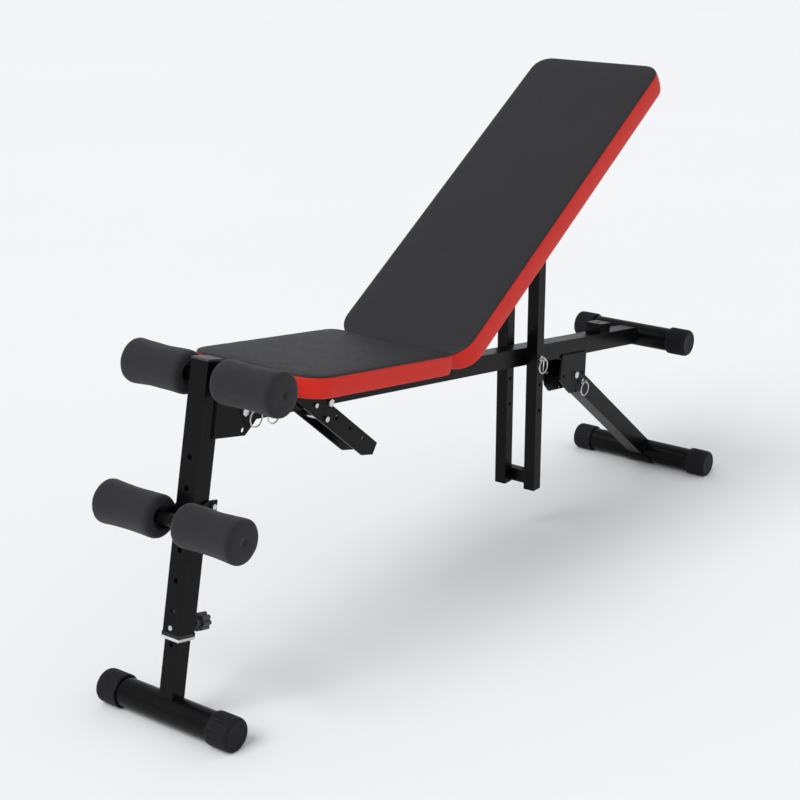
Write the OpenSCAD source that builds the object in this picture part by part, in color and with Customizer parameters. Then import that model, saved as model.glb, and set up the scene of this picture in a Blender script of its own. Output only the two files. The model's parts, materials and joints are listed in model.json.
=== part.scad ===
// Folding decline sit-up bench with foam leg rollers and a reclining back.
// +X is the sitter's left, +Y the head end, +Z up. Floor at Z = 0.

/* [Frame] */
// Tilt of the main beam, head end low, in degrees
beam_tilt = 7.4; // [6:0.1:9]
// Width of the main beam
beam_w = 39.2; // [39:0.1:39.2]
// Height of the main beam
beam_h = 40; // [38:1:42]
// Wall of the square tubes
tube_wall = 2; // [1.5:0.5:2.5]
// Half length of the rear cross tube with its caps
rear_cross_half = 154; // [140:1:170]

/* [Front post] */
// Lean of the front post, foot forward, in degrees
post_tilt = 11.8; // [10:0.1:13]
// Side of the square front post
post_w = 40; // [40:1:40]
// Side of the square inner tube
inner_w = 32; // [30:0.5:32]
// Spacing of the height holes in the front post
hole_pitch = 55.7; // [50:0.1:57]
// Half length of the front foot with its caps
front_foot_half = 161; // [150:1:190]

/* [Feet] */
// Radius of the round foot tubes
foot_r = 27.5; // [25:0.5:28]
// Radius of the foot caps
cap_r = 32; // [30:0.5:34]
// Length of one foot cap
cap_len = 50; // [40:1:55]
// Half length of the rear foot with its caps
rear_foot_half = 188; // [170:1:200]

/* [Rollers] */
// Largest radius of a foam roller
roller_r = 41; // [38:0.5:43]
// Length of one foam roller
roller_len = 138; // [120:1:140]
// Radius of the roller tubes
axle_r = 12.5; // [12:0.1:12.5]

/* [Pads] */
// Width of the seat pad
seat_w = 310; // [290:1:320]
// Length of the seat pad
seat_l = 432; // [420:1:432]
// Thickness of the seat pad with its board
seat_t = 41; // [38:1:44]
// Width of the back pad
back_w = 318; // [300:1:330]
// Length of the back pad
back_l = 896; // [860:1:900]
// Thickness of the back pad with its board
back_t = 53; // [50:1:56]
// Angle of the back above level, in degrees
back_rise = 32.6; // [32:0.1:34]

/* [Rear leg] */
// Angle of the rear leg below level, in degrees
leg_drop = 37.8; // [36:0.1:39]

/* [Part to show] */
// Sub-part to draw, or all

/* [Hidden] */
$fn = 64;
slack = 0.05;
fold_y = -665.5;
fold_z = 544;
bw = beam_w / 2;
bh = beam_h / 2;
pw = post_w / 2;
beam_back = 1462;
beam_front = -45;
plate_t = 4;
// post frame: axis of the post seen from the fold pivot
post_y = -83.5;
post_top = 92;
post_low = -398;
knob_z = -388;
first_hole = -79.5;
carriage_z = first_hole - 2 * hole_pitch;
carriage_y = post_y - 43.8;
upper_z = 61;
upper_y = post_y + 3;
upper_in = 37.5;
lower_in = 26;
recess = 6;
// beam frame: stations along the beam, heights above its axis
seat_s = 30;
seat_low = 38.6;
seat_axle = [456, 29];
back_axle = [490, 39.4];
leg_axle = [1156, -65.6];
bar_pin_s = 945;
park_s = 74;
park_t = 0.5;
pin_r = 4;
bolt_r = 5;
bar_w = 27;
bar_in = 25.3;
bar_low = 113;
bar_pin_z = 422.3;
leg_pin_r = 39;
lock_y = 21;
lock_z = 3.5;
ring_big = 16;
ring_wire = 1.5;
eye_x = 8.5;
// height of the foot axes above the floor, with the flat on the caps
cap_flat = 1.5;
foot_axis = cap_r - cap_flat;
foot_z = (foot_axis - fold_z + post_y * sin(post_tilt)) / cos(post_tilt);
leg_z = fold_z - leg_axle[0] * sin(beam_tilt) + leg_axle[1] * cos(beam_tilt);
leg_l = (leg_z - foot_axis) / sin(leg_drop);
hanger_u = 501;
hanger_n = -44;
rail_x = 59.5;
// pivot of the support bars, found from the back's own frame
axle_y = fold_y + back_axle[0] * cos(beam_tilt) + back_axle[1] * sin(beam_tilt);
axle_z = fold_z - back_axle[0] * sin(beam_tilt) + back_axle[1] * cos(beam_tilt);
bar_y = axle_y + hanger_u * cos(back_rise) - hanger_n * sin(back_rise);
bar_pivot_z = axle_z + hanger_u * sin(back_rise) + hanger_n * cos(back_rise);
bar_top = bar_pivot_z + 13;

// ---- frames and small shapes ----
module on_beam() translate([0, fold_y, fold_z]) rotate([-beam_tilt, 0, 0]) children();
module on_post() translate([0, fold_y, fold_z]) rotate([-post_tilt, 0, 0]) children();
module on_back() on_beam() translate([0, back_axle[0], back_axle[1]])
    rotate([beam_tilt + back_rise, 0, 0]) children();
module on_leg() on_beam() translate([0, leg_axle[0], leg_axle[1]])
    rotate([beam_tilt - leg_drop, 0, 0]) children();
module both() for (k = [0, 1]) mirror([k, 0, 0]) children();

// cylinder along X from x0 to x1
module xrod(r, x0, x1) translate([x0, 0, 0]) rotate([0, 90, 0]) cylinder(h = x1 - x0, r = r);

// plate with its outline in the Y-Z plane, from x0 to x1
module xplate(x0, x1, pts) translate([x0, 0, 0]) rotate([90, 0, 90])
    linear_extrude(height = x1 - x0) polygon(pts);

// rectangular tube along Y
module ytube(w, h, y0, y1) difference() {
    translate([-w / 2, y0, -h / 2]) cube([w, y1 - y0, h]);
    translate([-w / 2 + tube_wall, y0 - 1, -h / 2 + tube_wall])
        cube([w - 2 * tube_wall, y1 - y0 + 2, h - 2 * tube_wall]);
}

// square tube along Z
module ztube(w, z0, z1) difference() {
    translate([-w / 2, -w / 2, z0]) cube([w, w, z1 - z0]);
    translate([-w / 2 + tube_wall, -w / 2 + tube_wall, z0 - 1])
        cube([w - 2 * tube_wall, w - 2 * tube_wall, z1 - z0 + 2]);
}

// round tube along X, centred
module xpipe(r, half) difference() {
    xrod(r, -half, half);
    xrod(r - tube_wall, -half - 1, half + 1);
}

// ribbed cap over the end of a foot tube, end face at x = half
module foot_cap(half) difference() {
    union() {
        xrod(cap_r - 1, half - cap_len, half - 2);
        for (k = [0 : 4]) xrod(cap_r, half - cap_len + 1 + k * 9.4, half - cap_len + 7.4 + k * 9.4);
        xrod(cap_r - 3, half - 2, half);
    }
    xrod(foot_r, half - cap_len - 1, half - 4);
    translate([half - cap_len - 1, -cap_r, -2 * cap_r + cap_flat])
        cube([cap_len + 2, 2 * cap_r, cap_r]);
}

// rounded rectangle in the X-Y plane, from y0, corner radii at the y0 and far ends
module pad_shape(w, l, ra, rb) union() {
    for (s = [-1, 1]) {
        translate([s * (w / 2 - ra), ra]) circle(r = ra);
        translate([s * (w / 2 - rb), l - rb]) circle(r = rb);
    }
    translate([-w / 2 + ra, 0]) square([w - 2 * ra, l / 2]);
    translate([-w / 2, ra]) square([w, l - ra - rb]);
    translate([-w / 2 + rb, l / 2]) square([w - 2 * rb, l / 2]);
}

// cushion: side wall and a smaller crowned layer on top, pocket for the board below
module cushion(w, l, t, ra, rb, board_t) difference() {
    union() {
        linear_extrude(height = t - 9) pad_shape(w, l, ra, rb);
        translate([0, 5, 0]) linear_extrude(height = t - 4) pad_shape(w - 10, l - 10, ra, rb);
        translate([0, 12, 0]) linear_extrude(height = t) pad_shape(w - 24, l - 24, ra, rb);
    }
    translate([0, 6, -1]) linear_extrude(height = board_t + 1) pad_shape(w - 12, l - 12, ra - 6, rb - 6);
}

// bolt along X with a hex head at x1 and a nut at x0
module xbolt(r, x0, x1, head) {
    xrod(r, x0, x1);
    translate([x1, 0, 0]) rotate([0, 90, 0]) cylinder(h = 5, r = head, $fn = 6);
    translate([x0 - 5, 0, 0]) rotate([0, 90, 0]) cylinder(h = 5, r = head, $fn = 6);
}

// pull pin on the +X side: shank from x0 to a collar at x1, eye for the ring outside
module pull_pin(x0, x1) difference() {
    union() {
        xrod(pin_r, x0, x1);
        xrod(6.5, x1, x1 + 3);
        xrod(3, x1 + 3, x1 + 4.5);
        translate([x1 + eye_x, 1.5, 0]) rotate([90, 0, 0]) cylinder(h = 3, r = 5);
    }
    translate([x1 + eye_x, 5, 0]) rotate([90, 0, 0]) cylinder(h = 10, r = 2.6);
}

// ring hanging from the eye of a pull pin
module pull_ring(x1) translate([x1 + eye_x, 0, -ring_big]) rotate([0, 90, 0])
    rotate_extrude() translate([ring_big, 0]) circle(r = ring_wire, $fn = 24);

// foam roller from x0 outwards along X
module roller(x0, length) translate([x0, 0, 0]) rotate([0, 90, 0]) rotate_extrude()
    polygon([[axle_r + slack, 0], [roller_r - 7, 0], [roller_r - 1.5, 5], [roller_r, 14],
        [roller_r - 2, 42], [roller_r - 2.5, length / 2], [roller_r - 2, length - 42],
        [roller_r, length - 14], [roller_r - 1.5, length - 5], [roller_r - 7, length],
        [20, length], [18, length - recess], [axle_r + slack, length - recess]]);

// plug in the end of a roller tube
module tube_plug(x1) {
    xrod(axle_r - 2, x1 - 20, x1);
    xrod(16, x1, x1 + 3);
}

// ---- frame ----
module main_beam() color([0.07, 0.07, 0.08]) on_beam() difference() {
    ytube(beam_w, beam_h, beam_front, beam_back);
    translate([0, beam_back, 0]) xrod(foot_r, -60, 60);
    xrod(bolt_r + slack, -40, 40);
    translate([0, park_s, park_t]) xrod(pin_r + slack, 0, 40);
    translate([0, bar_pin_s, 0]) xrod(pin_r + slack, -40, 40);
}

module rear_cross_tube() color([0.07, 0.07, 0.08]) on_beam() translate([0, beam_back, 0])
    xpipe(foot_r, rear_cross_half - 4);

module rear_cross_caps() color([0.06, 0.06, 0.07]) on_beam() translate([0, beam_back, 0])
    rotate([beam_tilt, 0, 0]) both() foot_cap(rear_cross_half);

module rest_block() color([0.08, 0.08, 0.09]) on_beam() difference() {
    translate([-bw, 1260, bh]) cube([beam_w, 46, 23.5]);
    translate([-bw + 3, 1263, bh - 1]) cube([beam_w - 6, 40, 20.5]);
    translate([0, 1283, bh]) cylinder(h = 30, r = 5);
}

module leg_bracket() color([0.07, 0.07, 0.08]) on_beam() difference() {
    union() {
        xplate(bw, bw + plate_t, [[1090, -14], [1090, -72], [1124, -98], [1140, -108],
            [1182, -108], [1203, -84], [1197, -14]]);
        xplate(-bw - plate_t, -bw, [[1090, -14], [1090, -74], [1098, -92], [1118, -108],
            [1182, -108], [1203, -84], [1197, -14]]);
    }
    translate([0, leg_axle[0], leg_axle[1]]) {
        xrod(bolt_r + slack, -40, 40);
        for (hole = [[beam_tilt - leg_drop, leg_pin_r], [-79, leg_pin_r], [4, 32], [178, 52]])
            rotate([hole[0], 0, 0]) translate([0, hole[1], 0]) xrod(pin_r + slack, -40, 40);
    }
}

module leg_bolt() color([0.62, 0.62, 0.64]) on_beam() translate([0, leg_axle[0], leg_axle[1]])
    xbolt(bolt_r, -bw - plate_t, bw + plate_t, 8.5);

module hinge_bracket() color([0.07, 0.07, 0.08]) on_beam() {
    translate([-34, 440, bh]) cube([68, 59, 2]);
    both() difference() {
        union() {
            xplate(30, 34, [[440, bh + 2], [499, bh + 2], [499, 39.4], [481, 39.4], [470, 34], [450, 34]]);
            translate([0, back_axle[0], back_axle[1]]) xrod(9, 30, 34);
        }
        translate([0, seat_axle[0], seat_axle[1]]) xrod(3 + slack, 0, 60);
        translate([0, back_axle[0], back_axle[1]]) xrod(bolt_r + slack, 0, 60);
    }
}

module seat_axle_rod() color([0.6, 0.6, 0.62]) on_beam() translate([0, seat_axle[0], seat_axle[1]])
    xbolt(3, -34, 34, 4.5);

module back_axle_rod() color([0.6, 0.6, 0.62]) on_beam() translate([0, back_axle[0], back_axle[1]])
    xbolt(bolt_r, -42, 42, 7.5);

// ---- front post ----
module post_tube() color([0.07, 0.07, 0.08]) on_post() translate([0, post_y, 0]) difference() {
    ztube(post_w, post_low, post_top);
    for (i = [0 : 5]) translate([0, 0, first_hole - i * hole_pitch]) rotate([90, 0, 0])
        cylinder(h = 40, r = 5);
    translate([0, upper_y - post_y, upper_z]) xrod(axle_r, -40, 40);
    translate([0, 0, knob_z]) rotate([-90, 0, 0]) cylinder(h = 40, r = 5);
    translate([0, 0, knob_z]) rotate([90, 0, 0]) cylinder(h = 40, r = 2.5);
}

module post_cap() color([0.05, 0.05, 0.06]) on_post() translate([0, post_y, 0]) {
    translate([-pw, -pw, post_top]) cube([post_w, post_w, 4]);
    translate([-pw + tube_wall, -pw + tube_wall, post_top - 16])
        cube([post_w - 2 * tube_wall, post_w - 2 * tube_wall, 16]);
}

module post_bushing() color([0.78, 0.78, 0.8]) on_post() translate([0, post_y, 0]) difference() {
    union() {
        translate([-pw - 1, -pw - 1, post_low - 12]) cube([post_w + 2, post_w + 2, 12]);
        translate([-pw + tube_wall, -pw + tube_wall, post_low])
            cube([post_w - 2 * tube_wall, post_w - 2 * tube_wall, 50]);
    }
    translate([-inner_w / 2 - 0.3, -inner_w / 2 - 0.3, post_low - 20])
        cube([inner_w + 0.6, inner_w + 0.6, 80]);
    translate([0, 0, knob_z]) rotate([-90, 0, 0]) cylinder(h = 40, r = 5);
    translate([0, 0, knob_z]) rotate([90, 0, 0]) cylinder(h = 40, r = 2.5);
}

module bushing_screw() color([0.66, 0.66, 0.68]) on_post() translate([0, post_y, knob_z]) rotate([90, 0, 0]) {
    translate([0, 0, inner_w / 2 + 0.5]) cylinder(h = pw - inner_w / 2, r = 2.5);
    translate([0, 0, pw]) cylinder(h = 3, r = 4.5);
}

module knob_boss() color([0.07, 0.07, 0.08]) on_post() translate([0, post_y + pw, knob_z])
    rotate([-90, 0, 0]) difference() {
        cylinder(h = 14, r = 9);
        translate([0, 0, -1]) cylinder(h = 20, r = 4 + slack);
    }

module fold_plates() color([0.07, 0.07, 0.08]) on_post() both() difference() {
    xplate(pw, pw + plate_t, [[-74, 30], [-74, -45], [9, -44], [26, -27],
        [38, -12], [38, 10], [24, 30]]);
    xrod(bolt_r + slack, 0, 40);
    translate([0, 2, -34]) xrod(5, 0, 40);
    translate([0, lock_y, lock_z]) xrod(pin_r + slack, 0, 40);
}

module fold_bolt() color([0.62, 0.62, 0.64]) on_post() xbolt(bolt_r, -pw - plate_t, pw + plate_t, 8.5);

module upper_roller_tube() color([0.08, 0.08, 0.09]) on_post() translate([0, upper_y, upper_z])
    xpipe(axle_r, upper_in + roller_len - recess);

module upper_tube_plugs() color([0.05, 0.05, 0.05]) on_post() translate([0, upper_y, upper_z])
    both() tube_plug(upper_in + roller_len - recess);

module roller_upper_left() color([0.1, 0.1, 0.11]) on_post() translate([0, upper_y, upper_z])
    roller(upper_in, roller_len);

module roller_upper_right() color([0.1, 0.1, 0.11]) on_post() translate([0, upper_y, upper_z])
    mirror([1, 0, 0]) roller(upper_in, roller_len);

// ---- sliding roller carriage ----
module carriage_plates() color([0.07, 0.07, 0.08]) on_post() translate([0, 0, carriage_z]) both()
    difference() {
        xplate(pw + 0.4, pw + 0.4 + plate_t, [[carriage_y - 14, 6], [carriage_y - 14, -14],
            [carriage_y + 6, -20], [post_y + 22, -8], [post_y + 38, 14], [post_y + 38, 35],
            [post_y + 14, 35], [carriage_y, 14]]);
        translate([0, carriage_y, 0]) xrod(axle_r, 0, 60);
        translate([0, post_y + 27, 24]) xrod(3.5, 0, 60);
    }

module lower_roller_tube() color([0.08, 0.08, 0.09]) on_post() translate([0, carriage_y, carriage_z])
    xpipe(axle_r, lower_in + roller_len - recess);

module lower_tube_plugs() color([0.05, 0.05, 0.05]) on_post() translate([0, carriage_y, carriage_z])
    both() tube_plug(lower_in + roller_len - recess);

module carriage_bolt() color([0.6, 0.6, 0.62]) on_post() translate([0, post_y + 27, carriage_z + 24])
    xbolt(3.5, -pw - plate_t - 0.4, pw + plate_t + 0.4, 5.5);

module carriage_peg() color([0.6, 0.6, 0.62]) on_post() difference() {
    translate([0, post_y - pw - 0.6, carriage_z]) rotate([90, 0, 0]) cylinder(h = 14, r = pin_r);
    translate([0, carriage_y, carriage_z]) xrod(axle_r, -20, 20);
}

module roller_lower_left() color([0.1, 0.1, 0.11]) on_post() translate([0, carriage_y, carriage_z])
    roller(lower_in, roller_len);

module roller_lower_right() color([0.1, 0.1, 0.11]) on_post() translate([0, carriage_y, carriage_z])
    mirror([1, 0, 0]) roller(lower_in, roller_len);

// ---- telescoping front foot ----
module inner_tube() color([0.08, 0.08, 0.09]) on_post() translate([0, post_y, 0]) difference() {
    ztube(inner_w, foot_z, -290);
    translate([0, 0, foot_z]) rotate([post_tilt, 0, 0]) xrod(foot_r, -60, 60);
    translate([0, 0, -420]) rotate([90, 0, 0]) cylinder(h = 40, r = 4.5);
}

module front_foot_tube() color([0.07, 0.07, 0.08]) on_post() translate([0, post_y, foot_z])
    xpipe(foot_r, front_foot_half - 4);

module front_foot_caps() color([0.06, 0.06, 0.07]) on_post() translate([0, post_y, foot_z])
    rotate([post_tilt, 0, 0]) both() foot_cap(front_foot_half);

// ---- height knob ----
module height_knob() color([0.05, 0.05, 0.05]) on_post() translate([0, post_y + pw + 16, knob_z])
    rotate([-90, 0, 0]) difference() {
        union() {
            cylinder(h = 14, r = 10);
            translate([0, 0, 10]) cylinder(h = 20, r = 14);
            for (a = [0 : 45 : 315]) rotate([0, 0, a]) translate([13, 0, 10]) cylinder(h = 20, r = 4.5);
        }
        translate([0, 0, -1]) cylinder(h = 25, r = 4);
    }

module knob_screw() color([0.66, 0.66, 0.68]) on_post() translate([0, post_y + pw - 3, knob_z])
    rotate([-90, 0, 0]) cylinder(h = 43, r = 4);

// ---- seat ----
module seat_pad() color([0.14, 0.13, 0.13]) on_beam() translate([0, seat_s, seat_low])
    cushion(seat_w, seat_l, seat_t, 50, 26, 10);

module seat_board() color([0.45, 0.34, 0.22]) on_beam() translate([0, seat_s + 6, seat_low])
    linear_extrude(height = 10) pad_shape(seat_w - 12, seat_l - 12, 44, 20);

module seat_channel() color([0.07, 0.07, 0.08]) on_beam() {
    both() difference() {
        xplate(22.5, 26, [[80, seat_low], [155, seat_low], [399, -115.5], [387, -138], [352, -134]]);
        for (i = [0 : 2]) translate([0, 264 + i * 43.8, -46.4 - i * 26.6]) xrod(4.5, 0, 60);
        translate([0, 231, -44.7]) xrod(4, 0, 60);
        translate([0, 240, -14]) xrod(4, 0, 60);
        translate([0, 197.5, -14]) xrod(3, 0, 60);
    }
    both() translate([26, 84, seat_low - 3.5]) cube([24, 66, 3.5]);
    xplate(-22.5, 22.5, [[303, -54.9], [399, -115.5], [396.9, -118.9], [301, -58.2]]);
}

module seat_tie_rod() color([0.7, 0.7, 0.72]) on_beam() translate([0, 231, -44.7])
    xbolt(4, -26, 26, 6);

module channel_studs() color([0.66, 0.66, 0.68]) on_beam() both() {
    translate([0, 240, -14]) {
        xrod(4, 20.2, 26);
        translate([26, 0, 0]) rotate([0, 90, 0]) cylinder(h = 5, r = 8, $fn = 6);
    }
    translate([0, 197.5, -14]) {
        xrod(3, 20.2, 26);
        translate([26, 0, 0]) rotate([0, 90, 0]) cylinder(h = 4, r = 5, $fn = 6);
    }
}

module seat_screws() color([0.6, 0.6, 0.62]) on_beam() both() {
    for (s = [100, 134]) translate([38, s, seat_low - 6.5]) cylinder(h = 3, r = 6.5);
}

module seat_tabs() color([0.07, 0.07, 0.08]) on_beam() {
    both() difference() {
        union() {
            xplate(25.5, 29.5, [[420, seat_low], [462.5, seat_low], [462.5, 29], [449.5, 29], [436, 34]]);
            translate([0, seat_axle[0], seat_axle[1]]) xrod(6.5, 25.5, 29.5);
        }
        translate([0, seat_axle[0], seat_axle[1]]) xrod(3 + slack, 0, 60);
    }
}

// ---- back ----
module back_pad() color([0.13, 0.13, 0.14]) on_back() translate([0, 10.2, -14.6])
    cushion(back_w, back_l, back_t, 48, 45, 12);

module back_board() color([0.45, 0.34, 0.22]) on_back() translate([0, 16.2, -14.6])
    linear_extrude(height = 12) pad_shape(back_w - 12, back_l - 12, 42, 39);

module back_rails() color([0.07, 0.07, 0.08]) on_back() both()
    translate([rail_x, 70, -34.6]) difference() {
        cube([20, 640, 20]);
        translate([2, -1, 2]) cube([16, 642, 16]);
    }

module back_tabs() color([0.07, 0.07, 0.08]) on_back() both() {
    difference() {
        xplate(36, 40, [[-9, 9], [8, 9], [8, -15], [130, -14.6], [130, -34.6], [4, -30], [-9, -9]]);
        xrod(bolt_r + slack, 0, 60);
    }
    translate([40, 76, -18.1]) cube([rail_x - 40, 54, 3.5]);
}

module back_screws() color([0.6, 0.6, 0.62]) on_back() both() {
    for (s = [100, 390, 680]) translate([rail_x + 10, s, -37.6]) cylinder(h = 3, r = 6.5);
}

module bar_hanger() color([0.07, 0.07, 0.08]) on_back() difference() {
    union() {
        translate([-rail_x, hanger_u - 33, -18.1]) cube([2 * rail_x, 66, 3.5]);
        both() xplate(rail_x - 4, rail_x, [[hanger_u - 33, -18.1], [hanger_u + 33, -18.1],
            [hanger_u + 15, hanger_n - 15], [hanger_u - 15, hanger_n - 15]]);
    }
    translate([0, hanger_u, hanger_n]) xrod(bolt_r, -70, 70);
}

module bar_bolt() color([0.62, 0.62, 0.64]) on_back() translate([0, hanger_u, hanger_n])
    xbolt(bolt_r, -rail_x, rail_x, 8);

// ---- support bars ----
module support_bars() color([0.07, 0.07, 0.08]) translate([0, bar_y, 0]) both() difference() {
    translate([bar_in + bar_w / 2, 0, 0]) ztube(bar_w, bar_low, bar_top);
    translate([0, 0, bar_pivot_z]) xrod(bolt_r + slack, 0, 70);
    for (i = [0 : 2]) translate([0, 0, bar_pin_z - 60 * i]) xrod(pin_r + slack, 0, 70);
}

module bar_crosspiece() color([0.07, 0.07, 0.08]) translate([0, bar_y + bar_w / 2, 0]) difference() {
    translate([-40, 0, 115]) cube([80, 20, 30]);
    translate([-41, 2, 117]) cube([82, 16, 26]);
    translate([0, 10, 120]) cylinder(h = 40, r = 4.5);
}

// ---- rear leg ----
module rear_leg_tube() color([0.07, 0.07, 0.08]) on_leg() difference() {
    ytube(beam_w - 0.8, 42, -22, leg_l);
    translate([0, leg_l, 0]) xrod(foot_r, -60, 60);
    xrod(bolt_r + slack, -40, 40);
    translate([0, leg_pin_r, 0]) xrod(pin_r + slack, -40, 40);
}

module rear_foot_tube() color([0.07, 0.07, 0.08]) on_leg() translate([0, leg_l, 0])
    xpipe(foot_r, rear_foot_half - 4);

module rear_foot_caps() color([0.06, 0.06, 0.07]) on_leg() translate([0, leg_l, 0])
    rotate([leg_drop, 0, 0]) both() foot_cap(rear_foot_half);

module foot_saddle() color([0.07, 0.07, 0.08]) on_leg() translate([0, leg_l, 0])
    rotate([leg_drop, 0, 0]) difference() {
        xrod(foot_r + 2.5, -35, 35);
        xrod(foot_r, -36, 36);
        translate([-40, -50, -6]) cube([80, 100, 60]);
    }

// ---- pull pins and rings ----
module at_post_lock() on_post() translate([0, lock_y, lock_z]) rotate([post_tilt, 0, 0]) children();
module at_storage() on_beam() translate([0, park_s, park_t]) rotate([beam_tilt, 0, 0]) children();
module at_bars() translate([0, bar_y, bar_pin_z]) children();
module at_leg_lock() on_leg() translate([0, leg_pin_r, 0]) rotate([leg_drop, 0, 0]) children();

module post_pin() color([0.7, 0.7, 0.72]) at_post_lock() pull_pin(pw + 0.1, pw + plate_t);
module post_ring() color([0.75, 0.75, 0.77]) at_post_lock() pull_ring(pw + plate_t);
module storage_pin() color([0.7, 0.7, 0.72]) at_storage() pull_pin(8, bw);
module storage_ring() color([0.75, 0.75, 0.77]) at_storage() pull_ring(bw);
module bars_pin() color([0.7, 0.7, 0.72]) at_bars() pull_pin(bar_in - 3, bar_in + bar_w);
module bars_ring() color([0.75, 0.75, 0.77]) at_bars() pull_ring(bar_in + bar_w);
module leg_pin() color([0.7, 0.7, 0.72]) at_leg_lock() pull_pin(bw + 0.1, bw + plate_t);
module leg_ring() color([0.75, 0.75, 0.77]) at_leg_lock() pull_ring(bw + plate_t);

main_beam();
rear_cross_tube();
rear_cross_caps();
rest_block();
leg_bracket();
leg_bolt();
hinge_bracket();
seat_axle_rod();
back_axle_rod();
post_tube();
post_cap();
post_bushing();
bushing_screw();
knob_boss();
fold_plates();
fold_bolt();
upper_roller_tube();
upper_tube_plugs();
roller_upper_left();
roller_upper_right();
carriage_plates();
lower_roller_tube();
lower_tube_plugs();
carriage_bolt();
carriage_peg();
roller_lower_left();
roller_lower_right();
inner_tube();
front_foot_tube();
front_foot_caps();
height_knob();
knob_screw();
seat_pad();
seat_board();
seat_channel();
seat_tie_rod();
channel_studs();
seat_screws();
seat_tabs();
back_pad();
back_board();
back_rails();
back_tabs();
back_screws();
bar_hanger();
bar_bolt();
support_bars();
bar_crosspiece();
rear_leg_tube();
rear_foot_tube();
rear_foot_caps();
foot_saddle();
post_pin();
post_ring();
storage_pin();
storage_ring();
bars_pin();
bars_ring();
leg_pin();
leg_ring();
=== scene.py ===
import json
import math

import bpy
from mathutils import Matrix, Vector, noise


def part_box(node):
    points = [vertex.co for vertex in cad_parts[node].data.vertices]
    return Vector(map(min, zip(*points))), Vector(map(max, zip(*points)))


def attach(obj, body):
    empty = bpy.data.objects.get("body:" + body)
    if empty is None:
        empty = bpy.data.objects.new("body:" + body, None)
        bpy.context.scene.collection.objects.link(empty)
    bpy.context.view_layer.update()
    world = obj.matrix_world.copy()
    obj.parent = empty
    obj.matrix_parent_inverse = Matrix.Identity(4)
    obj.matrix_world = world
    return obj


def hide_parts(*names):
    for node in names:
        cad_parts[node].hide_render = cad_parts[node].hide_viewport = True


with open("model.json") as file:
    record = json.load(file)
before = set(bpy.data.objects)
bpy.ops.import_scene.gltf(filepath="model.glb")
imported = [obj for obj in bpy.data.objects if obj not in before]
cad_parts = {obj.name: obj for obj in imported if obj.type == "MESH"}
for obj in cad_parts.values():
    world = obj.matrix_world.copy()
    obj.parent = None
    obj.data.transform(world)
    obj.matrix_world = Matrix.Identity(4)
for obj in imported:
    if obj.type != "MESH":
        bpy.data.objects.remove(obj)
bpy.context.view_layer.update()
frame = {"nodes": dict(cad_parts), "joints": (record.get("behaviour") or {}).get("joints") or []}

# The looks of a decline sit up bench. The CAD nodes get procedural materials; pads, foam rollers and
# foot caps are own meshes that stand for CAD nodes, and weld beads are added. Lengths are metres, or
# millimetres times MM.

NODES = frame["nodes"]
JOINTS = {j["name"]: j for j in frame["joints"]}
MM = 0.001

# ---------------------------------------------------------------- camera
SENSOR_MM, LENS_MM = 36, 75.5
CAMERA_AT = (1.93498, -2.75205, 1.48582)
LOOK_DOWN, TURN = 18.097, 36.899  # degrees below level and about the vertical
cam_data = bpy.data.cameras.new("camera")
cam_data.sensor_width = SENSOR_MM
cam_data.lens = LENS_MM
cam = bpy.data.objects.new("camera", cam_data)
cam.location = CAMERA_AT
cam.rotation_euler = (math.radians(90 - LOOK_DOWN), 0, math.radians(TURN))
bpy.context.scene.collection.objects.link(cam)
bpy.context.scene.camera = cam
bpy.context.scene.view_settings.view_transform = "Standard"


# ---------------------------------------------------------------- node helpers
def material(name, color, rough, metallic=0.0, specular=0.5):
    """A Principled material with its tree and shader; numbers that stay uniform sit on the shader itself."""
    m = bpy.data.materials.new(name)
    m.use_nodes = True
    p = m.node_tree.nodes["Principled BSDF"]
    p.inputs["Base Color"].default_value = (*color, 1)
    p.inputs["Roughness"].default_value = rough
    p.inputs["Metallic"].default_value = metallic
    p.inputs["Specular IOR Level"].default_value = specular
    return m, m.node_tree, p


def coords(nt, scale=(1, 1, 1)):
    """Object coordinates in metres, stretched by scale."""
    c = nt.nodes.new("ShaderNodeTexCoord")
    mp = nt.nodes.new("ShaderNodeMapping")
    mp.inputs["Scale"].default_value = scale
    nt.links.new(c.outputs["Object"], mp.inputs["Vector"])
    return mp.outputs["Vector"]


def noise_tex(nt, vec, scale, detail=4, rough=0.55, distortion=0.0):
    n = nt.nodes.new("ShaderNodeTexNoise")
    n.inputs["Scale"].default_value = scale
    n.inputs["Detail"].default_value = detail
    n.inputs["Roughness"].default_value = rough
    n.inputs["Distortion"].default_value = distortion
    nt.links.new(vec, n.inputs["Vector"])
    return n.outputs[0]


def voronoi(nt, vec, scale, feature="F1"):
    n = nt.nodes.new("ShaderNodeTexVoronoi")
    n.feature = feature
    n.inputs["Scale"].default_value = scale
    nt.links.new(vec, n.inputs["Vector"])
    return n.outputs["Distance"]


def remap(nt, value, a, b, c, d):
    """Value from a..b mapped to c..d, held at the ends."""
    n = nt.nodes.new("ShaderNodeMapRange")
    for k, v in (("From Min", a), ("From Max", b), ("To Min", c), ("To Max", d)):
        n.inputs[k].default_value = v
    nt.links.new(value, n.inputs["Value"])
    return n.outputs["Result"]


def blend_color(nt, fac, a, b):
    n = nt.nodes.new("ShaderNodeMix")
    n.data_type = "RGBA"
    nt.links.new(fac, n.inputs[0])
    for socket, v in ((n.inputs[6], a), (n.inputs[7], b)):
        if isinstance(v, tuple):
            socket.default_value = (*v, 1)
        else:
            nt.links.new(v, socket)
    return n.outputs[2]


def combine(nt, a, b, operation):
    """One maths node on two sockets or numbers."""
    n = nt.nodes.new("ShaderNodeMath")
    n.operation = operation
    for socket, v in ((n.inputs[0], a), (n.inputs[1], b)):
        if isinstance(v, (int, float)):
            socket.default_value = v
        else:
            nt.links.new(v, socket)
    return n.outputs[0]


def add(nt, a, b):
    return combine(nt, a, b, "ADD")


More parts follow.
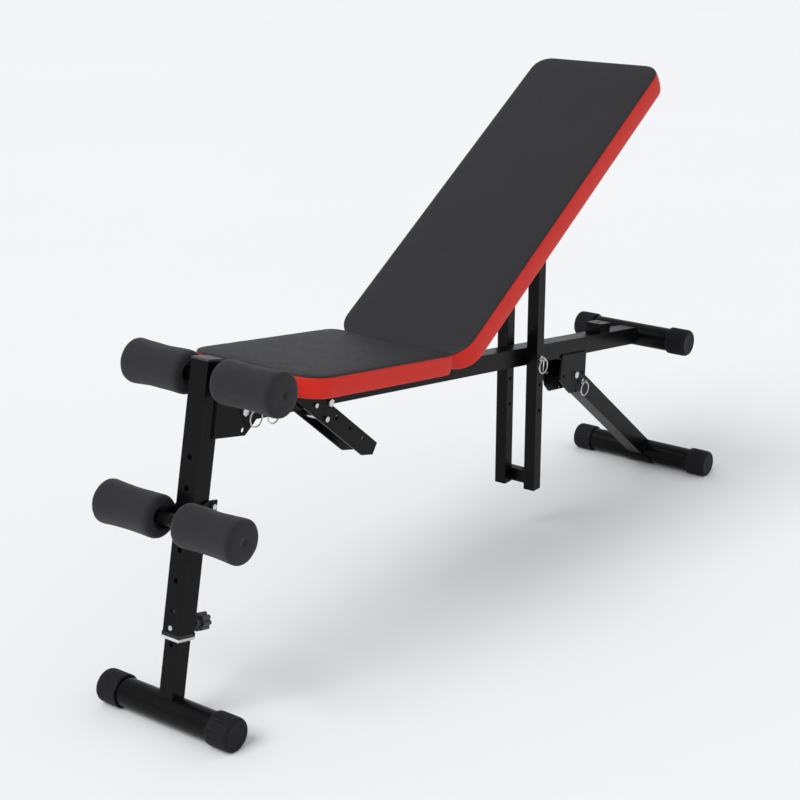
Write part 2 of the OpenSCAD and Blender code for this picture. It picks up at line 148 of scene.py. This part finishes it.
def times(nt, a, b):
    return combine(nt, a, b, "MULTIPLY")


def bump(nt, p, height, strength, distance, normal=None):
    """Bump on the shader's normal, over the rounded edges in normal if given."""
    n = nt.nodes.new("ShaderNodeBump")
    n.inputs["Strength"].default_value = strength
    n.inputs["Distance"].default_value = distance
    nt.links.new(height, n.inputs["Height"])
    if normal is not None:
        nt.links.new(normal, n.inputs["Normal"])
    nt.links.new(n.outputs["Normal"], p.inputs["Normal"])


def rounded(nt, radius):
    """Normal of edges rounded by radius, in metres."""
    n = nt.nodes.new("ShaderNodeBevel")
    n.samples = 4
    n.inputs["Radius"].default_value = radius
    return n.outputs["Normal"]


def edge_mask(nt, bevel_normal):
    """1 on edges, where the rounded normal leaves the face's own, and 0 elsewhere."""
    g = nt.nodes.new("ShaderNodeNewGeometry")
    d = nt.nodes.new("ShaderNodeVectorMath")
    d.operation = "DOT_PRODUCT"
    nt.links.new(bevel_normal, d.inputs[0])
    nt.links.new(g.outputs["Normal"], d.inputs[1])
    return remap(nt, d.outputs["Value"], 0.98, 0.8, 0.0, 1.0)


# ---------------------------------------------------------------- materials
def make_paint():
    m, nt, p = material("gloss_black_paint", (0.004, 0.004, 0.0045), 0.3, specular=0.09)
    v = coords(nt)
    cloud = noise_tex(nt, v, 9, 3)
    fine = noise_tex(nt, v, 900, 2)
    dust = remap(nt, noise_tex(nt, v, 160, 6, 0.7), 0.56, 0.74, 0.0, 1.0)
    soft = rounded(nt, 0.0016)
    patches = remap(nt, noise_tex(nt, v, 60, 5, 0.7), 0.5, 0.7, 0, 0.5)
    worn = times(nt, edge_mask(nt, soft), patches)
    base = blend_color(nt, cloud, (0.002, 0.002, 0.0024), (0.0045, 0.0045, 0.005))
    base = blend_color(nt, times(nt, dust, 0.15), base, (0.025, 0.025, 0.027))
    base = blend_color(nt, worn, base, (0.05, 0.05, 0.053))
    nt.links.new(base, p.inputs["Base Color"])
    rough = add(nt, remap(nt, cloud, 0.3, 0.7, 0.24, 0.34), times(nt, dust, 0.12))
    nt.links.new(rough, p.inputs["Roughness"])
    p.inputs["Coat Weight"].default_value = 0.03
    p.inputs["Coat Roughness"].default_value = 0.12
    peel = add(nt, noise_tex(nt, v, 220, 2), times(nt, fine, 0.25))
    bump(nt, p, peel, 0.10, 0.0006, soft)
    return m


def make_rubber():
    m, nt, p = material("ribbed_cap_plastic", (0.006, 0.006, 0.007), 0.5, specular=0.08)
    v = coords(nt)
    cloud = noise_tex(nt, v, 26, 4)
    base = blend_color(nt, cloud, (0.009, 0.009, 0.011), (0.016, 0.016, 0.0185))
    scuff = remap(nt, noise_tex(nt, coords(nt, (1, 3, 3)), 90, 7, 0.75), 0.6, 0.76, 0, 0.6)
    base = blend_color(nt, scuff, base, (0.022, 0.022, 0.024))
    nt.links.new(base, p.inputs["Base Color"])
    nt.links.new(add(nt, remap(nt, cloud, 0.3, 0.7, 0.38, 0.52), times(nt, scuff, 0.2)),
                 p.inputs["Roughness"])
    grain = add(nt, noise_tex(nt, v, 1400, 2), times(nt, noise_tex(nt, v, 300, 3), 0.5))
    bump(nt, p, grain, 0.22, 0.0005, rounded(nt, 0.0008))
    return m


def make_plastic():
    m, nt, p = material("moulded_knob_plastic", (0.045, 0.045, 0.047), 0.42, specular=0.4)
    v = coords(nt)
    cloud = noise_tex(nt, v, 40, 3)
    nt.links.new(blend_color(nt, cloud, (0.03, 0.03, 0.032), (0.06, 0.06, 0.063)), p.inputs["Base Color"])
    nt.links.new(remap(nt, cloud, 0.3, 0.7, 0.34, 0.5), p.inputs["Roughness"])
    bump(nt, p, times(nt, noise_tex(nt, v, 1700, 2), voronoi(nt, v, 1100)), 0.25, 0.0005,
         rounded(nt, 0.0007))
    return m


def make_bushing():
    m, nt, p = material("light_grey_sleeve", (0.6, 0.6, 0.62), 0.45, specular=0.4)
    v = coords(nt)
    cloud = noise_tex(nt, v, 60, 5)
    base = blend_color(nt, cloud, (0.55, 0.55, 0.56), (0.68, 0.68, 0.69))
    grime = remap(nt, noise_tex(nt, v, 220, 6, 0.7), 0.55, 0.75, 0, 0.6)
    base = blend_color(nt, grime, base, (0.3, 0.29, 0.28))
    # only the lip at the low end is bare: above it the sleeve has the colour of the post's paint
    along_post = POST.to_3x3() @ Vector((0, 0, 1))
    height = nt.nodes.new("ShaderNodeVectorMath")
    height.operation = "DOT_PRODUCT"
    height.inputs[1].default_value = along_post
    nt.links.new(v, height.inputs[0])
    lip = place(POST, 0, 0, SLEEVE_LIP).dot(along_post)
    painted = remap(nt, height.outputs["Value"], lip - 0.1 * MM, lip + 0.1 * MM, 0, 1)
    nt.links.new(blend_color(nt, painted, base, (0.003, 0.003, 0.0035)), p.inputs["Base Color"])
    nt.links.new(remap(nt, cloud, 0.3, 0.7, 0.36, 0.55), p.inputs["Roughness"])
    bump(nt, p, noise_tex(nt, v, 1200, 2), 0.2, 0.0004, rounded(nt, 0.0006))
    return m


def make_zinc():
    m, nt, p = material("zinc_plated_steel", (0.6, 0.6, 0.62), 0.28, metallic=1.0)
    v = coords(nt)
    cloud = noise_tex(nt, v, 130, 5)
    base = blend_color(nt, cloud, (0.50, 0.50, 0.52), (0.74, 0.74, 0.75))
    tarnish = remap(nt, noise_tex(nt, v, 420, 6, 0.7), 0.58, 0.75, 0, 0.7)
    nt.links.new(blend_color(nt, tarnish, base, (0.33, 0.31, 0.28)), p.inputs["Base Color"])
    nt.links.new(remap(nt, cloud, 0.3, 0.7, 0.2, 0.42), p.inputs["Roughness"])
    lines = noise_tex(nt, coords(nt, (1, 1, 14)), 700, 3)
    bump(nt, p, lines, 0.2, 0.0003, rounded(nt, 0.0005))
    return m


def make_foam():
    m, nt, p = material("closed_cell_foam", (0.02, 0.02, 0.022), 0.85, specular=0.2)
    v = coords(nt)
    cloud = noise_tex(nt, v, 16, 5, 0.6)
    cells = voronoi(nt, v, 950)
    base = blend_color(nt, cloud, (0.012, 0.012, 0.014), (0.027, 0.026, 0.030))
    rubbed = remap(nt, noise_tex(nt, coords(nt, (0.5, 1, 1)), 45, 6, 0.7), 0.55, 0.72, 0, 0.5)
    base = blend_color(nt, rubbed, base, (0.042, 0.041, 0.046))
    # painted shade: the base colour darkens at the cell centres, in the pits that the bump below sinks
    base = blend_color(nt, remap(nt, cells, 0.0, 0.5, 0.55, 0.0), base, (0.006, 0.006, 0.007))
    nt.links.new(base, p.inputs["Base Color"])
    nt.links.new(remap(nt, cloud, 0.3, 0.7, 0.72, 0.92), p.inputs["Roughness"])
    p.inputs["Sheen Weight"].default_value = 0.12
    p.inputs["Sheen Roughness"].default_value = 0.5
    lumps = add(nt, cells, times(nt, noise_tex(nt, v, 260, 5, 0.6), 1.2))
    bump(nt, p, lumps, 0.5, 0.0008)
    return m


def make_leather(name, dark, light, rough_lo, rough_hi, specular, worn):
    m, nt, p = material(name, dark, 0.5, specular=specular)
    v = coords(nt)
    cloud = noise_tex(nt, v, 5, 4, 0.55)
    mottle = noise_tex(nt, v, 120, 5, 0.65)
    pebbles = voronoi(nt, v, 620)
    creases = voronoi(nt, v, 260, "DISTANCE_TO_EDGE")
    tone = add(nt, times(nt, cloud, 0.6), times(nt, mottle, 0.4))
    base = blend_color(nt, tone, dark, light)
    # painted shade: the base colour darkens along the creases of the grain, the grooves that the bump below
    # sinks
    crease_shade = remap(nt, creases, 0.0, 0.05, 0.5, 0.0)
    base = blend_color(nt, crease_shade, base, tuple(c * 0.55 for c in dark))
    rub = remap(nt, noise_tex(nt, coords(nt, (1, 0.4, 1)), 22, 6, 0.7), 0.58, 0.78, 0, 0.35)
    base = blend_color(nt, rub, base, worn)
    nt.links.new(base, p.inputs["Base Color"])
    rough = add(nt, remap(nt, mottle, 0.3, 0.7, rough_lo, rough_hi), times(nt, rub, 0.15))
    nt.links.new(rough, p.inputs["Roughness"])
    grain = add(nt, times(nt, pebbles, 0.8), remap(nt, creases, 0.0, 0.12, 0.0, 0.5))
    wave = times(nt, noise_tex(nt, v, 30, 3), 0.9)
    bump(nt, p, add(nt, grain, wave), 0.28, 0.0007)
    return m


def make_wood():
    m, nt, p = material("plywood_board", (0.3, 0.2, 0.11), 0.65, specular=0.3)
    rings = nt.nodes.new("ShaderNodeTexWave")
    rings.inputs["Scale"].default_value = 9
    rings.inputs["Distortion"].default_value = 6
    rings.inputs["Detail"].default_value = 4
    nt.links.new(coords(nt, (1, 0.12, 1)), rings.inputs["Vector"])
    fibre = noise_tex(nt, coords(nt, (12, 0.5, 12)), 60, 5, 0.6)
    base = blend_color(nt, rings.outputs["Fac"], (0.28, 0.185, 0.10), (0.35, 0.24, 0.135))
    nt.links.new(blend_color(nt, remap(nt, fibre, 0.35, 0.7, 0, 0.6), base, (0.16, 0.10, 0.055)),
                 p.inputs["Base Color"])
    nt.links.new(remap(nt, fibre, 0.3, 0.7, 0.55, 0.75), p.inputs["Roughness"])
    bump(nt, p, fibre, 0.3, 0.0005)
    return m


def make_floor():
    m, nt, p = material("pale_floor", (0.86, 0.86, 0.86), 0.7, specular=0.1)
    v = coords(nt)
    nt.links.new(blend_color(nt, noise_tex(nt, v, 0.6, 3), (0.85, 0.85, 0.855), (0.88, 0.88, 0.88)),
                 p.inputs["Base Color"])
    return m


# ---------------------------------------------------------------- local frames of the sloping parts
FOLD = Vector(JOINTS["post_fold"]["pos_m"])
BACK_AXLE = Vector(JOINTS["back_tilt"]["pos_m"])
LEG_AXLE = Vector(JOINTS["leg_fold"]["pos_m"])
BEAM_TILT, POST_TILT, BACK_RISE, LEG_DROP = 7.4, 11.8, 32.6, 37.8  # degrees
SLEEVE_LIP = -405  # where the bare lip of the post's sleeve begins, in mm along the post


def at(point, degrees):
    """Frame at point, turned about X."""
    return Matrix.Translation(point) @ Matrix.Rotation(math.radians(degrees), 4, "X")


BEAM = at(FOLD, -BEAM_TILT)
POST = at(FOLD, -POST_TILT)
BACK = at(BACK_AXLE, BACK_RISE)
LEG = at(LEG_AXLE, -LEG_DROP)


def place(frame_matrix, *xyz):
    """Point in metres from millimetres in a local frame."""
    return frame_matrix @ Vector([c * MM for c in xyz])


FINISH = {  # by the record's material slots
    "black_tube": make_paint(),
    "cap_rubber": make_rubber(),
    "black_plastic": make_plastic(),
    "bushing_plastic": make_bushing(),
    "zinc_steel": make_zinc(),
    "foam": make_foam(),
    "upholstery": make_leather("black_leatherette", (0.0125, 0.012, 0.0145), (0.021, 0.020, 0.024),
                               0.46, 0.58, 0.25, (0.027, 0.026, 0.030)),
    "plywood": make_wood(),
}
RED = make_leather("red_leatherette", (0.57, 0.020, 0.012), (0.72, 0.030, 0.018), 0.36, 0.48, 0.14,
                   (0.76, 0.045, 0.03))
for o in NODES.values():
    for s in o.material_slots:
        s.material = FINISH[s.material.name.split(".")[0]]


# ---------------------------------------------------------------- mesh helpers
def mesh_object(name, verts, faces, mats, index=None):
    me = bpy.data.meshes.new(name)
    me.from_pydata([tuple(v) for v in verts], [], faces)
    me.polygons.foreach_set("use_smooth", [True] * len(faces))
    for m in mats:
        me.materials.append(m)
    if index is not None:
        me.polygons.foreach_set("material_index", index)
    me.update()
    o = bpy.data.objects.new(name, me)
    bpy.context.scene.collection.objects.link(o)
    return o


def subdivide(o, levels=1):
    mod = o.modifiers.new("subdivision", "SUBSURF")
    mod.levels = mod.render_levels = levels
    bake_modifiers(o)


def bake_modifiers(o):
    """The evaluated mesh becomes the object's own."""
    dg = bpy.context.evaluated_depsgraph_get()
    me = bpy.data.meshes.new_from_object(o.evaluated_get(dg), preserve_all_data_layers=True,
                                         depsgraph=dg)
    me.name = o.data.name
    o.modifiers.clear()
    o.data = me


def tube_mesh(name, pts, radius, mat, closed=False, sides=8, ripple=0.0, pitch=2.4 * MM):
    """Round bead along the points; ripple gives the scaled look of a weld."""
    rings, n = [], len(pts)
    travelled = 0.0
    ref = None
    for i, p in enumerate(pts):
        a = pts[(i - 1) % n] if closed or i > 0 else p
        b = pts[(i + 1) % n] if closed or i < n - 1 else p
        t = (b - a).normalized()
        if ref is None:
            ref = t.orthogonal().normalized()
        ref = (ref - t * ref.dot(t)).normalized()
        side = t.cross(ref)
        if i:
            travelled += (p - pts[i - 1]).length
        r = radius * (1 + ripple * math.sin(2 * math.pi * travelled / pitch)
                      + ripple * 0.6 * noise.noise(p * 300))
        if not closed and i in (0, n - 1):
            r *= 0.35
        rings.append([p + (ref * math.cos(k) + side * math.sin(k)) * r
                      for k in (2 * math.pi * j / sides for j in range(sides))])
    verts = [v for r in rings for v in r]
    faces = []
    for i in range(n if closed else n - 1):
        for j in range(sides):
            a, b = i * sides, ((i + 1) % n) * sides
            faces.append((a + j, a + (j + 1) % sides, b + (j + 1) % sides, b + j))
    if not closed:
        faces.append(tuple(range(sides))[::-1])
        faces.append(tuple((n - 1) * sides + j for j in range(sides)))
    return mesh_object(name, verts, faces, [mat])


def walk(corners, step, closed=False):
    """Points at an even spacing along a polyline."""
    ends = corners + [corners[0]] if closed else corners
    out = []
    for a, b in zip(ends, ends[1:]):
        k = max(1, round((b - a).length / step))
        out += [a.lerp(b, i / k) for i in range(k)]
    return out if closed else out + [ends[-1]]


# ---------------------------------------------------------------- cushions
def rounded_ring(w, l, ra, rb, inset, nx, ny):
    """Outline of the pad pulled in by inset; nx points across each end and ny along each side."""
    x0, x1, y0, y1 = -w / 2 + inset, w / 2 - inset, inset, l - inset
    a, b = max(ra - inset, 0.4), max(rb - inset, 0.4)

    def arc(cx, cy, r, d0, d1):
        return [(cx + r * math.cos(math.radians(d0 + (d1 - d0) * i / 12)),
                 cy + r * math.sin(math.radians(d0 + (d1 - d0) * i / 12))) for i in range(13)]

    # end, side, end, side; each starts and stops half way round a corner
    sides = [
        (arc(x0 + a, y0 + a, a, 225, 270) + arc(x1 - a, y0 + a, a, 270, 315), nx),
        (arc(x1 - a, y0 + a, a, 315, 360) + arc(x1 - b, y1 - b, b, 0, 45), ny),
        (arc(x1 - b, y1 - b, b, 45, 90) + arc(x0 + b, y1 - b, b, 90, 135), nx),
        (arc(x0 + b, y1 - b, b, 135, 180) + arc(x0 + a, y0 + a, a, 180, 225), ny),
    ]
    out = []
    for path, n in sides:
        lengths = [0.0]
        for p, q in zip(path, path[1:]):
            lengths.append(lengths[-1] + math.dist(p, q))
        k = 0
        for i in range(n):
            s = lengths[-1] * i / n
            while lengths[k + 1] < s:
                k += 1
            f = (s - lengths[k]) / max(lengths[k + 1] - lengths[k], 1e-9)
            out.append((path[k][0] + (path[k + 1][0] - path[k][0]) * f,
                        path[k][1] + (path[k + 1][1] - path[k][1]) * f))
    return out


ROLL_REACH, ROLL_FADE, ROLL_DROP = 90, 34, 5.0  # the low end's roll: how far in, how soft, how deep
BLACK_CORNER = 52  # the red band turns the low corners this far, and the roll between them is black


def cushion(name, frame_matrix, node, body, w, l, side, top, ra, rb, nx, ny, seed, overlap=0.0):
    """Upholstered pad, w by l mm: leatherette folded under the board, a red side band, a seam just below the
    rounded top edge at height side, and a crown up to top. ra and rb are the corner radii at the low and high
    ends. overlap: how far the middle of the low end rolls over its neighbour."""

    def crown(d):
        return side + (top - side) * (1 - math.exp(-d / 12)) + 1.6 * (1 - math.exp(-d / 60))

    def settle(x, y, z):
        if not overlap or y > ROLL_REACH:
            return Vector((x, y, z))
        f = math.exp(-(max(y, 0) / ROLL_FADE) ** 2) * max(0.0, math.cos(math.pi * x / w)) ** 0.7
        up = max(0.0, z / side)
        return Vector((x, y - overlap * f * up ** 1.3, z - ROLL_DROP * f * up))

    # rings from the underside over the side and the seam to the top: (inset, height, 1 where the skin is red)
    rings = [(24, 0.6, 0), (23, -0.7, 0), (12, -0.8, 0), (5, -0.6, 0), (2.2, -0.1, 0), (0.8, 1.0, 1),
             (0.1, 3.0, 1)]
    for f in (0.2, 0.35, 0.5, 0.65, 0.8):
        rings.append((-1.7 * math.sin(math.pi * f), side * f, 1))
    rings += [(-0.7, side - 6.0, 1), (-0.1, side - 3.9, 1), (0.9, side - 3.2, 1), (1.1, side - 2.9, 0),
              (0.3, side - 2.4, 0), (0.4, side - 1.4, 0), (1.6, side - 0.2, 0), (3.2, side + 0.5, 0)]
    rings += [(d, crown(d) if d > 6 else side + 1.0, 0) for d in (5, 8, 12, 17, 23, 30, 38)]
    count = 2 * (nx + ny)
    verts, faces, index = [], [], []
    for d, z, _ in rings:
        for x, y in rounded_ring(w, l, ra, rb, d, nx, ny):
            q = Vector((x, y, 0))
            pucker = noise.noise(q * 0.045 + Vector((seed, 0, 0))) * 1.1 + noise.noise(q * 0.13) * 0.5
            if z > side:
                verts.append(settle(x, y, z + pucker * math.exp(-d / 30) * min(1.0, (z - side) / 3)))
            elif 2 < z < side - 4:
                centre = Vector((0, min(max(y, w / 2), l - w / 2), 0))
                out = (q - centre).normalized() * pucker * 0.5 * math.sin(math.pi * z / side)
                verts.append(settle(x + out.x, y + out.y, z))
            else:
                verts.append(settle(x, y, z))
    for k in range(len(rings) - 1):
        for i in range(count):
            a, b = k * count, (k + 1) * count
            faces.append((a + i, a + (i + 1) % count, b + (i + 1) % count, b + i))
            low_end = overlap and verts[a + i].y < 12 and abs(verts[a + i].x) < w / 2 - BLACK_CORNER
            red = rings[k][2] or rings[k + 1][2]
            index.append(1 if red and not low_end else 0)
    # the middle of the top: a plain grid whose border is the last ring
    start = (len(rings) - 1) * count
    grid = {}
    for i in range(nx):
        grid[i, 0] = start + i
        grid[nx - i, ny] = start + nx + ny + i
    for j in range(ny):
        grid[nx, j] = start + nx + j
        grid[0, ny - j] = start + 2 * nx + ny + j
    for i in range(1, nx):
        for j in range(1, ny):
            lo, hi = verts[grid[i, 0]], verts[grid[i, ny]]
            le, ri = verts[grid[0, j]], verts[grid[nx, j]]
            x, y = lo.x + (hi.x - lo.x) * j / ny, le.y + (ri.y - le.y) * i / nx
            d = min(w / 2 - abs(x), y, l - y)
            wave = noise.noise(Vector((x, y, seed)) * 0.012) * 1.0 * min(1, (d - 30) / 40)
            grid[i, j] = len(verts)
            verts.append(settle(x, y, crown(d) + wave))
    for i in range(nx):
        for j in range(ny):
            faces.append((grid[i, j], grid[i + 1, j], grid[i + 1, j + 1], grid[i, j + 1]))
            index.append(0)
    o = mesh_object(name, [frame_matrix @ (v * MM) for v in verts], faces,
                    [FINISH["upholstery"], RED], index)
    subdivide(o)
    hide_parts(node)
    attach(o, body)


SEAT_FRAME = BEAM @ Matrix.Translation(Vector((0, 30, 38.6)) * MM)
BACK_FRAME = BACK @ Matrix.Translation(Vector((0, 10.2, -14.6)) * MM)
cushion("seat_cushion", SEAT_FRAME, "seat_pad", "seat", w=310, l=432, side=40.5, top=43, ra=50, rb=26,
        nx=36, ny=50, seed=3.1)
cushion("back_cushion", BACK_FRAME, "back_pad", "back", w=318, l=896, side=50, top=53.5, ra=48, rb=38,
        nx=36, ny=100, seed=7.7, overlap=13)


# ---------------------------------------------------------------- foam rollers
def foam_roller(node, body, joint, seed):
    """Foam sleeve: a recess round the tube at the inner end, a slight waist, and a closed dimpled
    outer end."""
    lo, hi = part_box(node)
    left = lo.x > 0
    length = hi.x - lo.x
    start = lo.x if left else hi.x
    way = 1 if left else -1
    _, cy, cz = JOINTS[joint]["pos_m"]
    big = (hi.z - lo.z) / 2
    L, R = length / MM, big / MM
    # half section as (distance from the inner end, radius), smoothed below
    keys = [(9.0, 12.7), (8.6, 16.0), (6.0, 20.0), (2.0, 22.4), (0.4, 25.5), (0.2, 30), (1.6, 35.0),
            (5.0, 38.4), (11, R - 1.2), (20, R - 1.3), (36, R - 1.8), (54, R - 2.3), (L / 2, R - 2.5),
            (L - 54, R - 2.2), (L - 38, R - 1.5), (L - 24, R - 0.7), (L - 12, R + 0.2), (L - 6, R),
            (L - 2.6, R - 1.8), (L - 0.6, R - 5.5), (L + 0.4, R - 12), (L + 0.6, 20), (L + 0.4, 11),
            (L - 0.2, 7.5), (L - 1.6, 5.0), (L - 2.0, 2.5), (L - 2.0, 0.05)]
    path = []
    for i in range(len(keys) - 1):  # Catmull-Rom, one point added between each two keys
        p0, p1, p2, p3 = (keys[max(0, min(len(keys) - 1, i + k))] for k in (-1, 0, 1, 2))
        for t in (0, 0.5):
            path.append(tuple(0.5 * (2 * p1[c] + (p2[c] - p0[c]) * t
                                     + (2 * p0[c] - 5 * p1[c] + 4 * p2[c] - p3[c]) * t * t
                                     + (3 * p1[c] - p0[c] - 3 * p2[c] + p3[c]) * t ** 3) for c in (0, 1)))
    path.append(keys[-1])
    around = 72
    verts, faces = [], []
    for x, r in path:
        for k in range(around):
            a = 2 * math.pi * k / around
            d = Vector((0, math.cos(a), math.sin(a)))
            q = Vector((x * 0.02 + seed, d.y * 1.3, d.z * 1.3))
            lump = noise.noise(q * 1.7) * 0.55 + noise.noise(q * 5.1) * 0.2
            rr = r + (lump if r > 20 else 0)
            verts.append(Vector((start + way * x * MM, cy + d.y * rr * MM, cz + d.z * rr * MM)))
    for i in range(len(path) - 1):
        for k in range(around):
            a, b = i * around, (i + 1) * around
            f = (a + k, a + (k + 1) % around, b + (k + 1) % around, b + k)
            faces.append(f if left else f[::-1])
    o = mesh_object("foam_" + node, verts, faces, [FINISH["foam"]])
    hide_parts(node)
    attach(o, body)


for seed, place_name in enumerate(("upper_left", "upper_right", "lower_left", "lower_right"), 1):
    foam_roller("roller_" + place_name, place_name + "_roller", place_name + "_spin", float(seed))


# ---------------------------------------------------------------- fluted foot caps
FOOT_TUBE_R = 27.5
CAP_LENGTH = 50
FLUTES, FLUTE_DEPTH = 24, 1.2
CAP_AROUND = 240
FLOOR_GAP = 0.0002


def flute(a):
    return max(0.0, math.cos(a * FLUTES)) ** 0.6


def cap_skin(name, centre, way, stations):
    """Skin along X through stations (x, r, depth of the flutes), kept flat just above the floor."""
    verts, faces = [], []
    for x, r, depth in stations:
        for k in range(CAP_AROUND):
            a = 2 * math.pi * k / CAP_AROUND
            rr = r - depth * flute(a)
            z = max(centre.z + rr * math.sin(a) * MM, FLOOR_GAP)
            verts.append(Vector((centre.x + way * x * MM, centre.y + rr * math.cos(a) * MM, z)))
    for i in range(len(stations) - 1):
        for k in range(CAP_AROUND):
            a, b = i * CAP_AROUND, (i + 1) * CAP_AROUND
            f = (a + k, a + (k + 1) % CAP_AROUND, b + (k + 1) % CAP_AROUND, b + k)
            faces.append(f if way > 0 else f[::-1])
    return mesh_object(name, verts, faces, [FINISH["cap_rubber"]])


def fluted_caps(node, body, name):
    """Push-on end caps with flutes along their length, a plain rim and a slightly domed end face."""
    lo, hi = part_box(node)
    r = (hi.y - lo.y) / 2 / MM
    deep = FLUTE_DEPTH
    stations = [(0.6, FOOT_TUBE_R + 0.1, 0), (0.0, r - 2.6, 0), (0.0, r - 1.2, 0), (1.0, r - 0.2, 0),
                (4.0, r, 0), (6.5, r, 0), (8.5, r, 0.5), (11, r, deep), (20, r, deep), (30, r, deep),
                (37, r, deep), (40, r, 0.6), (42.5, r - 0.2, 0.1), (45, r - 0.8, 0), (47, r - 2.0, 0),
                (48.6, r - 3.8, 0), (49.5, r - 6.2, 0), (49.8, r - 9, 0), (49.2, r - 11, 0),
                (49.0, r - 14, 0), (49.1, 12, 0), (49.2, 4, 0), (49.2, 0.05, 0)]
    for way, side in ((1, "_left"), (-1, "_right")):
        centre = Vector((way * (hi.x - CAP_LENGTH * MM), (lo.y + hi.y) / 2, hi.z - r * MM))
        o = cap_skin(name + side, centre, way, stations)
        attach(o, body)
        if way > 0:
            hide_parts(node)


fluted_caps("front_foot_caps", "front_foot", "front_cap")
fluted_caps("rear_foot_caps", "rear_leg", "rear_cap")
fluted_caps("rear_cross_caps", "frame", "cross_cap")


# ---------------------------------------------------------------- weld beads
def bead(name, corners, body, radius=1.5, closed=False):
    """Weld bead along corners, which are points in metres; radius in mm."""
    pts = walk(corners, 0.6 * MM, closed)
    o = tube_mesh(name, pts, radius * MM, FINISH["black_tube"], closed, ripple=0.16)
    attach(o, body)


def coped(frame_matrix, s, half_w, half_h):
    """Closed loop where a square tube meets a round foot tube, whose axis is at station s."""
    hs = [half_h * (1 - i / 8) for i in range(17)]
    loop = [(half_w + 0.4, s - math.sqrt(FOOT_TUBE_R ** 2 - h * h), h) for h in hs]
    loop += [(-x, y, z) for x, y, z in loop[::-1]]
    return [place(frame_matrix, *p) for p in loop]


def ring(radius, x, y, z, axis):
    """40 points in the post's frame round (x, y, z), about its X or Y axis."""
    turns = [2 * math.pi * i / 40 for i in range(40)]
    if axis == "X":
        return [place(POST, x, y + radius * math.cos(a), z + radius * math.sin(a)) for a in turns]
    return [place(POST, x + radius * math.cos(a), y, z + radius * math.sin(a)) for a in turns]


CROSS_AT = 1462  # the rear cross tube's axis along the beam
CAP_R = 32 * MM
LEG_LENGTH = (LEG_AXLE.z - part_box("rear_foot_caps")[1].z + CAP_R) / math.sin(math.radians(LEG_DROP)) / MM
CROSSPIECE_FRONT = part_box("bar_crosspiece")[0].y + 0.5 * MM

bead("weld_beam_cross", coped(BEAM, CROSS_AT, 19.6, 20.4), "frame", 1.8, True)
bead("weld_leg_foot", coped(LEG, LEG_LENGTH, 19.2, 21.4), "rear_leg", 1.8, True)
for k, side in ((1, "left"), (-1, "right")):
    bead("weld_leg_bracket_" + side, [place(BEAM, k * 20.6, s, -13.2) for s in (1092, 1150, 1195)],
         "frame", 1.6)
    bead("weld_fold_plate_" + side, [place(POST, k * 20.9, -74.6, z) for z in (-43, 0, 28)],
         "front_post", 1.6)
    bead("weld_carriage_" + side, ring(13.4, k * 25.2, -127.3, -190.9, "X"), "roller_carriage", 1.3, True)
    bead("weld_rest_block_" + side, [place(BEAM, k * 18.6, s, 20.6) for s in (1261, 1305)], "frame", 1.4)
    bead("weld_crosspiece_" + side,
         [Vector((k * 40 * MM, CROSSPIECE_FRONT, z * MM)) for z in (116, 144)], "support", 1.3)
bead("weld_knob_boss", ring(9.6, 0, -63.1, -388, "Y"), "front_post", 1.2, True)

# ---------------------------------------------------------------- floor, light, world
FLOOR_REACH = 60
corners = [(x * FLOOR_REACH, y * FLOOR_REACH, 0) for x, y in ((-1, -1), (1, -1), (1, 1), (-1, 1))]
floor = mesh_object("floor", corners, [(0, 1, 2, 3)], [make_floor()])


def sun(name, strength, angle, azimuth, elevation):
    """Soft sun, angle degrees wide, from azimuth degrees to the right of the front."""
    d = bpy.data.lights.new(name, "SUN")
    d.energy, d.angle = strength, math.radians(angle)
    o = bpy.data.objects.new(name, d)
    a, e = math.radians(azimuth), math.radians(elevation)
    o.rotation_euler = Vector((math.sin(a) * math.cos(e), -math.cos(a) * math.cos(e),
                               math.sin(e))).to_track_quat("Z", "Y").to_euler()
    bpy.context.scene.collection.objects.link(o)


sun("key", 1.75, 35, -10, 48)
sun("fill", 0.12, 60, 110, 35)
world = bpy.data.worlds.new("studio")
world.use_nodes = True
background = world.node_tree.nodes["Background"]
background.inputs["Color"].default_value = (0.95, 0.97, 1, 1)
background.inputs["Strength"].default_value = 0.66
bpy.context.scene.world = world
